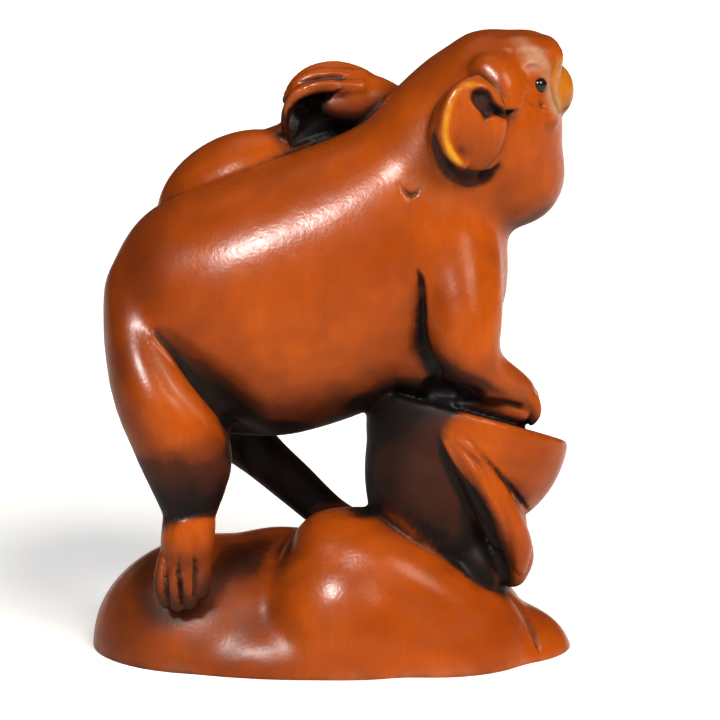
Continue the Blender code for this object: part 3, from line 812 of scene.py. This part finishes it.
def cut_lines(mesh, strength):
    """Cuts every line and recess into the mesh, on the parts that the photograph shows and their mirror images."""
    places, outwards = rows_of(mesh.vertices, "co"), rows_of(mesh.vertices, "normal")
    moved = places.copy()
    for side in BOTH:
        seen, facing = in_sight(mesh, places, outwards, side)
        across, down = in_photo(places, side)
        hold = seen * np.clip((facing - 0.02) * 4, 0, 1) * SHARE * strength
        for marks, weigh in ((POCKETS, pocket_weight), (STROKES, stroke_weight)):
            for mark in marks.values():
                if side in mark.sides and mark.depth:
                    pressed = weigh(across, down, mark) * hold * mark.depth
                    moved -= outwards * pressed[:, None]
    set_places(mesh, moved)


def spread(values, links, rounds):
    """Averages a value of every vertex with its neighbours."""
    count = np.bincount(links.ravel(), minlength=len(values))
    for _ in range(rounds):
        total = np.bincount(links[:, 0], values[links[:, 1]], len(values))
        total += np.bincount(links[:, 1], values[links[:, 0]], len(values))
        values = (values + total) / (1 + count)
    return values


def creases(places, outwards, links):
    """How hollow the surface is at every vertex: above 0 in a crease and below it on a ridge."""
    count = np.maximum(np.bincount(links.ravel(), minlength=len(places)), 1)
    bend = np.zeros(len(places))
    length = np.linalg.norm(places[links[:, 0]] - places[links[:, 1]], axis=1)
    for here, there in ((0, 1), (1, 0)):
        step = places[links[:, there]] - places[links[:, here]]
        lift = (step * outwards[links[:, here]]).sum(axis=1) / np.maximum(length, 1e-7) ** 2
        bend += np.bincount(links[:, here], lift, len(places))
    return bend / count


def shelter(mesh, places, outwards, every=14, rays=44):
    """How much of the open air the carving itself keeps from each point, from 0 to 1."""
    turn = math.pi * (1 + math.sqrt(5))
    steps = np.arange(rays) + 0.5
    flat = np.sqrt(steps / rays)
    fan = np.column_stack([flat * np.cos(turn * steps), flat * np.sin(turn * steps), np.sqrt(1 - steps / rays)])
    fan = [Vector(ray) for ray in fan]
    tree = tree_of(mesh)
    longest = HEIGHT * 0.3
    samples = np.arange(0, len(places), every)
    known = KDTree(len(samples))
    closed = []
    for row, index in enumerate(samples):
        outward = Vector(outwards[index])
        start = Vector(places[index]) + outward * SHARE * 0.15
        upright = outward.to_track_quat("Z", "Y")
        total = 0.0
        for ray in fan:
            hit = tree.ray_cast(start, upright @ ray, longest)[3]
            if hit is not None:
                total += 1 - hit / longest
        closed.append(total / rays)
        known.insert(places[index], row)
    known.balance()
    values = np.empty(len(places))
    for index, place in enumerate(places):
        found = known.find_n(place, 4)
        weights = [1 / (distance + SHARE * 0.2) for _, _, distance in found]
        values[index] = sum(weight * closed[row] for weight, (_, row, _) in zip(weights, found)) / sum(weights)
    return values


def paint(mesh):
    """Stores for the material, at every vertex, the staining with the painted shade, the gilding, and the wear with the
    painted highlights.
    """
    places, outwards = rows_of(mesh.vertices, "co"), rows_of(mesh.vertices, "normal")
    links = rows_of(mesh.edges, "vertices", 2)
    bend = spread(creases(places, outwards, links), links, 3)
    closed = spread(shelter(mesh, places, outwards), links, 4)
    coats = {
        # Painted shade together with staining: dark in the hollows that the carving shelters and in its creases, plus
        # painted shade on faces turned down and on faces turned left, away from the key light.
        "stain_and_shade": np.clip((closed - 0.15) * 1.4, 0, 0.7) + np.clip((bend - 120) / 900, 0, 0.45)
        + np.clip(0.1 - outwards[:, 2], 0, 1) * 0.4 + np.clip(-0.3 - outwards[:, 0], 0, 1) * 0.25,
        "gold": np.zeros(len(places)),
        # Wear on the sharpest ridges. The marks below add painted highlights and sheen to this coat.
        "wear_and_sheen": np.clip((-bend - 350) / 2500, 0, 0.3),
    }
    for side in BOTH:
        seen, facing = in_sight(mesh, places, outwards, side)
        seen = spread(seen.astype(float), links, 10) * np.clip(facing * 5, 0, 1)
        across, down = in_photo(places, side)
        for marks, weigh in ((POCKETS, pocket_weight), (STROKES, stroke_weight)):
            for mark in marks.values():
                if side in mark.sides:
                    weight = weigh(across, down, mark) * seen
                    for name, coat in coats.items():
                        coat += weight * getattr(mark, name)
    for name, coat in coats.items():
        layer = mesh.attributes.new(name, "FLOAT", "POINT")
        layer.data.foreach_set("value", np.clip(spread(coat, links, 1), 0, 1).astype(np.float32))


def fit_in(mesh, low, high):
    """Brings the mesh to exactly the box of the solid that it stands for."""
    places = rows_of(mesh.vertices, "co")
    own_low, own_high = places.min(axis=0), places.max(axis=0)
    low, high = np.array(low), np.array(high)
    set_places(mesh, low + (places - own_low) / (own_high - own_low) * (high - low))


def node(tree, kind, place, **inputs):
    """A shader node with its inputs set, or linked where a value is another node's socket."""
    made = tree.nodes.new(kind)
    made.location = (place[0] * 220, place[1] * -180)
    for name, value in inputs.items():
        socket = made.inputs[int(name[1:])] if name[0] == "i" and name[1:].isdigit() else made.inputs[name.replace("_", " ")]
        if isinstance(value, bpy.types.NodeSocket):
            tree.links.new(value, socket)
        else:
            socket.default_value = value
    return made


def blend_colours(tree, place, factor, first, second, mode="MIX"):
    """A colour mixed from two others."""
    made = tree.nodes.new("ShaderNodeMix")
    made.data_type = "RGBA"
    made.blend_type = mode
    made.location = (place[0] * 220, place[1] * -180)
    for index, value in ((0, factor), (6, first), (7, second)):
        if isinstance(value, bpy.types.NodeSocket):
            tree.links.new(value, made.inputs[index])
        else:
            made.inputs[index].default_value = value
    return made.outputs[2]


def remap(tree, place, value, low, high, to_low=0.0, to_high=1.0):
    """A value moved from one range to another and held inside it."""
    made = node(tree, "ShaderNodeMapRange", place, Value=value)
    for name, number in (("From Min", low), ("From Max", high), ("To Min", to_low), ("To Max", to_high)):
        made.inputs[name].default_value = number
    return made.outputs["Result"]


def sum_of(tree, place, first, second, operation="ADD"):
    """Two numbers added, or put together in another way."""
    made = tree.nodes.new("ShaderNodeMath")
    made.operation = operation
    made.location = (place[0] * 220, place[1] * -180)
    for index, value in enumerate((first, second)):
        if isinstance(value, bpy.types.NodeSocket):
            tree.links.new(value, made.inputs[index])
        else:
            made.inputs[index].default_value = value
    return made.outputs[0]


def attribute(tree, place, name):
    """One of the painted coats."""
    made = tree.nodes.new("ShaderNodeAttribute")
    made.attribute_name = name
    made.location = (place[0] * 220, place[1] * -180)
    return made.outputs["Fac"]


def boxwood_finish(colours):
    """Polished boxwood: orange-brown, with faint figure, fine grain, dark staining and painted shade in the creases and
    hollows, and wear and painted highlights on the edges.
    """
    material = bpy.data.materials.new("polished boxwood")
    material.use_nodes = True
    tree = material.node_tree
    shader = tree.nodes["Principled BSDF"]
    where = node(tree, "ShaderNodeTexCoord", (-9, 0)).outputs["Object"]

    fibres = node(tree, "ShaderNodeMapping", (-8, 1), Vector=where, Scale=(2600.0, 2600.0, 260.0)).outputs[0]
    fibre = node(tree, "ShaderNodeTexNoise", (-7, 1), Vector=fibres, Scale=1.0, Detail=3.0).outputs["Fac"]
    cloud = node(tree, "ShaderNodeTexNoise", (-7, 2), Vector=where, Scale=95.0, Detail=3.0).outputs["Fac"]
    speck = node(tree, "ShaderNodeTexNoise", (-7, 3), Vector=where, Scale=1500.0, Detail=2.0).outputs["Fac"]
    grit = node(tree, "ShaderNodeTexNoise", (-7, 7), Vector=where, Scale=3000.0, Detail=2.0).outputs["Fac"]
    wash = node(tree, "ShaderNodeTexNoise", (-7, 4), Vector=where, Scale=420.0, Detail=4.0).outputs["Fac"]
    figure = node(tree, "ShaderNodeTexNoise", (-7, 5), Vector=where, Scale=60.0, Detail=1.0).outputs["Fac"]
    rings = sum_of(tree, (-6, 5), sum_of(tree, (-6, 6), figure, 90.0, "MULTIPLY"), 0.0, "SINE")

    wood = blend_colours(tree, (-5, 0), remap(tree, (-6, 2), cloud, 0.3, 0.7), colours.wood, colours.wood_deep)
    wood = blend_colours(tree, (-4, 0), remap(tree, (-5, 5), rings, -1.0, 1.0, 0.0, 0.2), wood, colours.wood_deep)
    wood = blend_colours(tree, (-3, 0), remap(tree, (-5, 1), fibre, 0.35, 0.65, 0.0, 0.2), wood, colours.wood_deep)

    # The pale coat: wear, together with painted highlights and sheen.
    wear_and_sheen = sum_of(tree, (-4, 7), attribute(tree, (-5, 7), "wear_and_sheen"), remap(tree, (-5, 8), wash, 0.3, 0.65, 0.35, 1.0), "MULTIPLY")
    wood = blend_colours(tree, (-2, 0), wear_and_sheen, wood, colours.wear_and_sheen)
    gold = sum_of(tree, (-4, 9), attribute(tree, (-5, 9), "gold"), remap(tree, (-5, 10), wash, 0.35, 0.6, 0.6, 1.0), "MULTIPLY")
    wood = blend_colours(tree, (-1, 0), gold, wood, colours.gilding)

    # The dark coat: staining, together with painted shade in the hollows, in the creases and on the sides away from the
    # light.
    stain_and_shade = attribute(tree, (-5, 12), "stain_and_shade")
    uneven = sum_of(tree, (-4, 12), stain_and_shade, remap(tree, (-5, 13), wash, 0.3, 0.7, -0.07, 0.07))
    half = blend_colours(tree, (0, 0), remap(tree, (-3, 12), uneven, 0.0, 0.6), wood, colours.half_stain_and_shade)
    wood = blend_colours(tree, (1, 0), remap(tree, (-3, 13), uneven, 0.5, 1.0), half, colours.stain_and_shade)
    tree.links.new(wood, shader.inputs["Base Color"])

    gloss = remap(tree, (0, 3), wash, 0.3, 0.7, 0.22, 0.32)
    gloss = sum_of(tree, (1, 3), gloss, remap(tree, (0, 4), stain_and_shade, 0.08, 0.8, 0.0, 0.3))
    gloss = sum_of(tree, (1, 4), gloss, remap(tree, (0, 5), wear_and_sheen, 0.0, 1.0, 0.0, 0.12))
    tree.links.new(gloss, shader.inputs["Roughness"])

    pits = remap(tree, (-1, 6), speck, 0.62, 0.78, 0.0, -0.5)
    relief = sum_of(tree, (0, 6), sum_of(tree, (-1, 7), fibre, 0.35, "MULTIPLY"), pits)
    relief = sum_of(tree, (1, 6), relief, sum_of(tree, (0, 7), wash, 2.5, "MULTIPLY"))
    relief = sum_of(tree, (1, 7), relief, sum_of(tree, (0, 8), grit, 0.8, "MULTIPLY"))
    bump = node(tree, "ShaderNodeBump", (2, 6), Height=relief, Strength=0.35, Distance=0.00004)
    tree.links.new(bump.outputs["Normal"], shader.inputs["Normal"])
    shader.inputs["Specular IOR Level"].default_value = 0.17
    return material


def horn_finish(colours):
    """Polished black horn with a slight brown cloud in it."""
    material = bpy.data.materials.new("polished horn")
    material.use_nodes = True
    tree = material.node_tree
    shader = tree.nodes["Principled BSDF"]
    where = node(tree, "ShaderNodeTexCoord", (-4, 0)).outputs["Object"]
    cloud = node(tree, "ShaderNodeTexNoise", (-3, 0), Vector=where, Scale=1400.0, Detail=2.0).outputs["Fac"]
    horn = blend_colours(tree, (-1, 0), remap(tree, (-2, 0), cloud, 0.45, 0.8), colours.horn, colours.horn_cloud)
    tree.links.new(horn, shader.inputs["Base Color"])
    tree.links.new(remap(tree, (-1, 2), cloud, 0.3, 0.7, 0.06, 0.12), shader.inputs["Roughness"])
    bump = node(tree, "ShaderNodeBump", (-1, 4), Height=cloud, Strength=0.1, Distance=0.00001)
    tree.links.new(bump.outputs["Normal"], shader.inputs["Normal"])
    return material


def paper_finish(colours):
    """The pale matt paper that the carving stands on."""
    material = bpy.data.materials.new("pale paper")
    material.use_nodes = True
    tree = material.node_tree
    shader = tree.nodes["Principled BSDF"]
    where = node(tree, "ShaderNodeTexCoord", (-4, 0)).outputs["Object"]
    tooth = node(tree, "ShaderNodeTexNoise", (-3, 0), Vector=where, Scale=900.0, Detail=3.0).outputs["Fac"]
    paper = blend_colours(tree, (-1, 0), remap(tree, (-2, 0), tooth, 0.3, 0.7), colours.paper, colours.paper_shade)
    tree.links.new(paper, shader.inputs["Base Color"])
    shader.inputs["Roughness"].default_value = 0.9
    shader.inputs["Specular IOR Level"].default_value = 0.1
    shader.inputs["Emission Color"].default_value = (1, 1, 1, 1)
    shader.inputs["Emission Strength"].default_value = 0.50
    return material


def piece_of(name, mesh, material, stands_for):
    """Shows a mesh as a piece of the netsuke in place of a solid."""
    mesh.materials.clear()
    mesh.materials.append(material)
    mesh.shade_smooth()
    made = bpy.data.objects.new(name, mesh)
    bpy.context.scene.collection.objects.link(made)
    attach(made, "root")
    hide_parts(stands_for)
    return made


class NetsukeForm(bpy.types.PropertyGroup):
    """Sizes of the fine carving and of what it stands on."""

    skin_grain: FloatProperty(
        name="Skin grain", description="Width of the faces that the fine carving starts from",
        default=0.0002, min=0.0001, max=0.001, unit="LENGTH", subtype="DISTANCE", precision=5,
    )
    skin_faces: IntProperty(
        name="Skin faces", description="Triangles that the fine carving is thinned to",
        default=188000, min=20000, max=199000,
    )
    gouge_strength: FloatProperty(
        name="Gouge strength", description="Depth of every cut line, against its usual depth",
        default=1.0, min=0.0, max=2.0, subtype="FACTOR",
    )
    eye_rings: IntProperty(
        name="Eye rings", description="Rings of faces round each eye bead", default=24, min=8, max=64,
    )
    floor_width: FloatProperty(
        name="Floor width", description="Width of the paper that the carving stands on",
        default=3.0, min=0.5, max=10.0, unit="LENGTH", subtype="DISTANCE",
    )


class NetsukeColours(bpy.types.PropertyGroup):
    """Colours of the wood, its finish, the eyes and the floor."""

    wood: FloatVectorProperty(
        name="Wood", description="Polished boxwood where it is lightest", subtype="COLOR", size=4,
        min=0, max=1, default=(0.58, 0.122, 0.008, 1),
    )
    wood_deep: FloatVectorProperty(
        name="Deep wood", description="Boxwood in its darker clouds and fibres", subtype="COLOR", size=4,
        min=0, max=1, default=(0.34, 0.062, 0.004, 1),
    )
    # Half-strength staining together with painted shade.
    half_stain_and_shade: FloatVectorProperty(
        name="Half stain and painted shade", description="Wood at the edge of a stained and shaded crease", subtype="COLOR", size=4,
        min=0, max=1, default=(0.10, 0.021, 0.005, 1),
    )
    # Full staining together with painted shade in the deepest hollows.
    stain_and_shade: FloatVectorProperty(
        name="Stain and painted shade", description="Dark staining and painted shade in the bottom of the creases and hollows", subtype="COLOR", size=4,
        min=0, max=1, default=(0.008, 0.003, 0.002, 1),
    )
    gilding: FloatVectorProperty(
        name="Gilding", description="Yellow tint of the ears' rims and the muzzle", subtype="COLOR", size=4,
        min=0, max=1, default=(0.82, 0.43, 0.03, 1),
    )
    # The pale colour of rubbed wood, also used for painted highlights and sheen.
    wear_and_sheen: FloatVectorProperty(
        name="Worn wood and painted sheen", description="Pale wood where the finish is rubbed through, also used for painted sheen", subtype="COLOR", size=4,
        min=0, max=1, default=(0.56, 0.36, 0.25, 1),
    )
    horn: FloatVectorProperty(
        name="Horn", description="Black horn of the eyes", subtype="COLOR", size=4,
        min=0, max=1, default=(0.006, 0.005, 0.004, 1),
    )
    horn_cloud: FloatVectorProperty(
        name="Horn cloud", description="Brown cloud in the horn", subtype="COLOR", size=4,
        min=0, max=1, default=(0.03, 0.015, 0.008, 1),
    )
    paper: FloatVectorProperty(
        name="Paper", description="Floor where it is lightest", subtype="COLOR", size=4,
        min=0, max=1, default=(0.93, 0.94, 0.94, 1),
    )
    paper_shade: FloatVectorProperty(
        name="Paper shade", description="Floor in the dips of its tooth", subtype="COLOR", size=4,
        min=0, max=1, default=(0.90, 0.91, 0.91, 1),
    )


class NETSUKE_OT_carving(bpy.types.Operator):
    """Carve the fine netsuke, with its furrows, its staining, painted shade and highlights, and its polish"""

    bl_idname = "netsuke.carving"
    bl_label = "Carving"

    def execute(self, context):
        form = context.scene.netsuke_form
        shape = rough_form(form.skin_grain / SHARE)
        mesh = bpy.data.meshes.new("netsuke carving")
        shape.to_mesh(mesh)
        cut_lines(mesh, form.gouge_strength)
        shape.clear()
        shape.from_mesh(mesh)
        thin(shape, form.skin_faces)
        keep_largest(shape)
        trim(shape, (0, 0, 0), Vector((0, 0, -1)))
        bmesh.ops.triangulate(shape, faces=shape.faces)
        bmesh.ops.recalc_face_normals(shape, faces=shape.faces)
        shape.to_mesh(mesh)
        shape.free()
        fit_in(mesh, *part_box("carving"))
        paint(mesh)
        piece_of("netsuke_carving", mesh, boxwood_finish(context.scene.netsuke_colours), "carving")
        return {"FINISHED"}


class NETSUKE_OT_eyes(bpy.types.Operator):
    """Set a polished horn bead in each eye"""

    bl_idname = "netsuke.eyes"
    bl_label = "Eyes"

    def execute(self, context):
        rings = context.scene.netsuke_form.eye_rings
        material = horn_finish(context.scene.netsuke_colours)
        for name in ("eye_right", "eye_left"):
            low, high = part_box(name)
            bead = bmesh.new()
            bmesh.ops.create_uvsphere(bead, u_segments=rings * 2, v_segments=rings, radius=(high.z - low.z) / 2)
            bmesh.ops.translate(bead, verts=bead.verts, vec=(low + high) / 2)
            mesh = bpy.data.meshes.new(name)
            bead.to_mesh(mesh)
            bead.free()
            piece_of(f"horn_{name}", mesh, material, name)
        return {"FINISHED"}


def shine(name, direction, strength, spread_angle, colour=(1, 1, 1), only_gloss=False):
    """A soft light from far away, or only its reflection. The direction is from the carving to the light."""
    light = bpy.data.lights.new(name, "SUN")
    light.energy = strength
    light.angle = math.radians(spread_angle)
    light.color = colour
    lamp = bpy.data.objects.new(name, light)
    lamp.rotation_euler = Vector(direction).to_track_quat("Z", "Y").to_euler()
    lamp.visible_diffuse = not only_gloss
    bpy.context.scene.collection.objects.link(lamp)


class NETSUKE_OT_stage(bpy.types.Operator):
    """Set the pale floor, the soft lights and the camera"""

    bl_idname = "netsuke.stage"
    bl_label = "Stage"

    def execute(self, context):
        scene = context.scene
        paper = bmesh.new()
        bmesh.ops.create_grid(paper, x_segments=2, y_segments=2, size=scene.netsuke_form.floor_width / 2)
        mesh = bpy.data.meshes.new("floor")
        paper.to_mesh(mesh)
        paper.free()
        mesh.materials.append(paper_finish(scene.netsuke_colours))
        floor = bpy.data.objects.new("floor", mesh)
        scene.collection.objects.link(floor)

        shine("key light", (0.44, -0.60, 0.67), 2.75, 28, colour=(1.0, 0.93, 0.80))
        shine("fill light", (-0.25, -0.85, 0.46), 0.5, 60)
        shine("top light", (-0.10, 0.25, 0.96), 0.35, 40)
        shine("window", (-0.33, -0.67, 0.66), 6.5, 9, only_gloss=True)

        world = bpy.data.worlds.new("pale room")
        world.use_nodes = True
        room = world.node_tree.nodes["Background"]
        room.inputs["Color"].default_value = (1, 1, 1, 1)
        room.inputs["Strength"].default_value = 0.06
        scene.world = world
        scene.view_settings.view_transform = "Standard"
        scene.view_settings.gamma = 0.88

        lens = bpy.data.cameras.new("camera")
        lens.lens = LENS
        lens.sensor_width = SENSOR
        lens.clip_start = 0.001
        camera = bpy.data.objects.new("camera", lens)
        back = Vector(towards_camera(NEAR))
        camera.location = CAMERA_TARGET + back * CAMERA_DISTANCE
        camera.rotation_euler = (-back).to_track_quat("-Z", "Y").to_euler()
        scene.collection.objects.link(camera)
        scene.camera = camera
        return {"FINISHED"}


class NETSUKE_PT_panel(bpy.types.Panel):
    """The netsuke's pieces, sizes and colours"""

    bl_label = "Netsuke"
    bl_idname = "NETSUKE_PT_panel"
    bl_space_type = "VIEW_3D"
    bl_region_type = "UI"
    bl_category = "Netsuke"

    def draw(self, context):
        for operator in OPERATORS:
            self.layout.operator(operator.bl_idname)
        for group in (context.scene.netsuke_form, context.scene.netsuke_colours):
            for name in group.__annotations__:
                self.layout.prop(group, name)


OPERATORS = (NETSUKE_OT_carving, NETSUKE_OT_eyes, NETSUKE_OT_stage)
CLASSES = (NetsukeForm, NetsukeColours, *OPERATORS, NETSUKE_PT_panel)


def register():
    for each in CLASSES:
        bpy.utils.register_class(each)
    bpy.types.Scene.netsuke_form = PointerProperty(type=NetsukeForm)
    bpy.types.Scene.netsuke_colours = PointerProperty(type=NetsukeColours)


def unregister():
    del bpy.types.Scene.netsuke_colours
    del bpy.types.Scene.netsuke_form
    for each in reversed(CLASSES):
        bpy.utils.unregister_class(each)


def main():
    """Makes every piece and the stage."""
    register()
    bpy.ops.netsuke.carving()
    bpy.ops.netsuke.eyes()
    bpy.ops.netsuke.stage()


if __name__ == "__main__":
    main()
